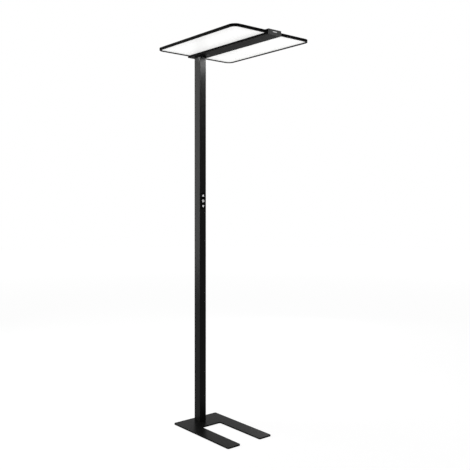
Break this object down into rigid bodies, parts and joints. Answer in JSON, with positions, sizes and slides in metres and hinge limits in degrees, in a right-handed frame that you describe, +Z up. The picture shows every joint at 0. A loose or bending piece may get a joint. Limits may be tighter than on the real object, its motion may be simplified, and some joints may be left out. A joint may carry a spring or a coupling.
{
  "type": "office floor lamp",
  "caption": "Office floor lamp: U-shaped steel foot, rectangular post with a three-key panel, and a flat rectangular head of two edge-lit wings on a central beam.",
  "frame": {"origin": "on the floor, under the centre of the post, on the middle glide pad's lower face", "axes": "+X the way the head reaches out and the foot's prongs point, +Y the lamp's left, +Z up"},
  "size_m": [0.633, 0.48, 1.95],
  "materials": {
    "powder_coat_steel": "fine-textured black powder coat, satin",
    "rubber_black": "matt",
    "steel_zinc": "zinc plated",
    "bare_aluminium": "machined",
    "screw_black": "black oxide",
    "powder_coat_profile": "satin black powder coat on extruded aluminium",
    "gland_plastic": "moulded polyamide",
    "keypad_plastic": "polished black",
    "key_plastic": "fine satin black",
    "mark_white": "translucent white, lit",
    "board_green": "solder mask over glass laminate",
    "switch_plastic": "moulded",
    "lead_sheath": "flexible sheath",
    "head_coat": "matt black powder coat on aluminium",
    "cap_plastic": "moulded, matt",
    "window_pale": "opal window",
    "sensor_dark": "dark infrared lens",
    "driver_case": "white sheet steel",
    "terminal_plastic": "moulded pale grey",
    "opal_sheet": "satin opal acrylic, lit",
    "clear_guide": "clear acrylic, edge lit",
    "strip_white": "white board with light sources"
  },
  "bodies": {
    "lamp": {"base_plate": "powder_coat_steel", "glide_pads": "rubber_black", "foot_screws": "steel_zinc", "foot_block": "bare_aluminium", "foot_side_screws": "screw_black", "post_profile": "powder_coat_profile", "cable_gland": "gland_plastic", "gland_nut": "gland_plastic", "control_plate": "keypad_plastic", "control_board": "board_green", "key_switches": "switch_plastic", "control_lead": "lead_sheath", "head_block": "bare_aluminium", "head_side_screws": "screw_black", "load_plate": "steel_zinc", "load_screws": "steel_zinc", "beam_body": "head_coat", "beam_cover": "head_coat", "cover_screws": "screw_black", "front_cap": "cap_plastic", "rear_cap": "cap_plastic", "status_window": "window_pale", "status_board": "board_green", "sensor_lens": "sensor_dark", "sensor_board": "board_green", "led_driver": "driver_case", "driver_screws": "steel_zinc", "terminal_block": "terminal_plastic", "frame_screws": "steel_zinc", "left_frame": "head_coat", "left_diffuser": "opal_sheet", "left_light_guide": "clear_guide", "left_top_diffuser": "opal_sheet", "left_led_strip": "strip_white", "right_frame": "head_coat", "right_diffuser": "opal_sheet", "right_light_guide": "clear_guide", "right_top_diffuser": "opal_sheet", "right_led_strip": "strip_white"},
    "up_key": {"up_button": "key_plastic", "up_mark": "mark_white"},
    "power_key": {"power_button": "key_plastic", "power_mark": "mark_white"},
    "down_key": {"down_button": "key_plastic", "down_mark": "mark_white"}
  },
  "joints": [
    {"name": "up_key_press", "type": "slide", "parent": "lamp", "child": "up_key", "axis": [-1, 0, 0], "range_m": [0, 0.0008], "stiffness_N_per_m": 2000, "springref_m": -0.0004},
    {"name": "power_key_press", "type": "slide", "parent": "lamp", "child": "power_key", "axis": [-1, 0, 0], "range_m": [0, 0.0008], "stiffness_N_per_m": 2000, "springref_m": -0.0004},
    {"name": "down_key_press", "type": "slide", "parent": "lamp", "child": "down_key", "axis": [-1, 0, 0], "range_m": [0, 0.0008], "stiffness_N_per_m": 2000, "springref_m": -0.0004}
  ]
}
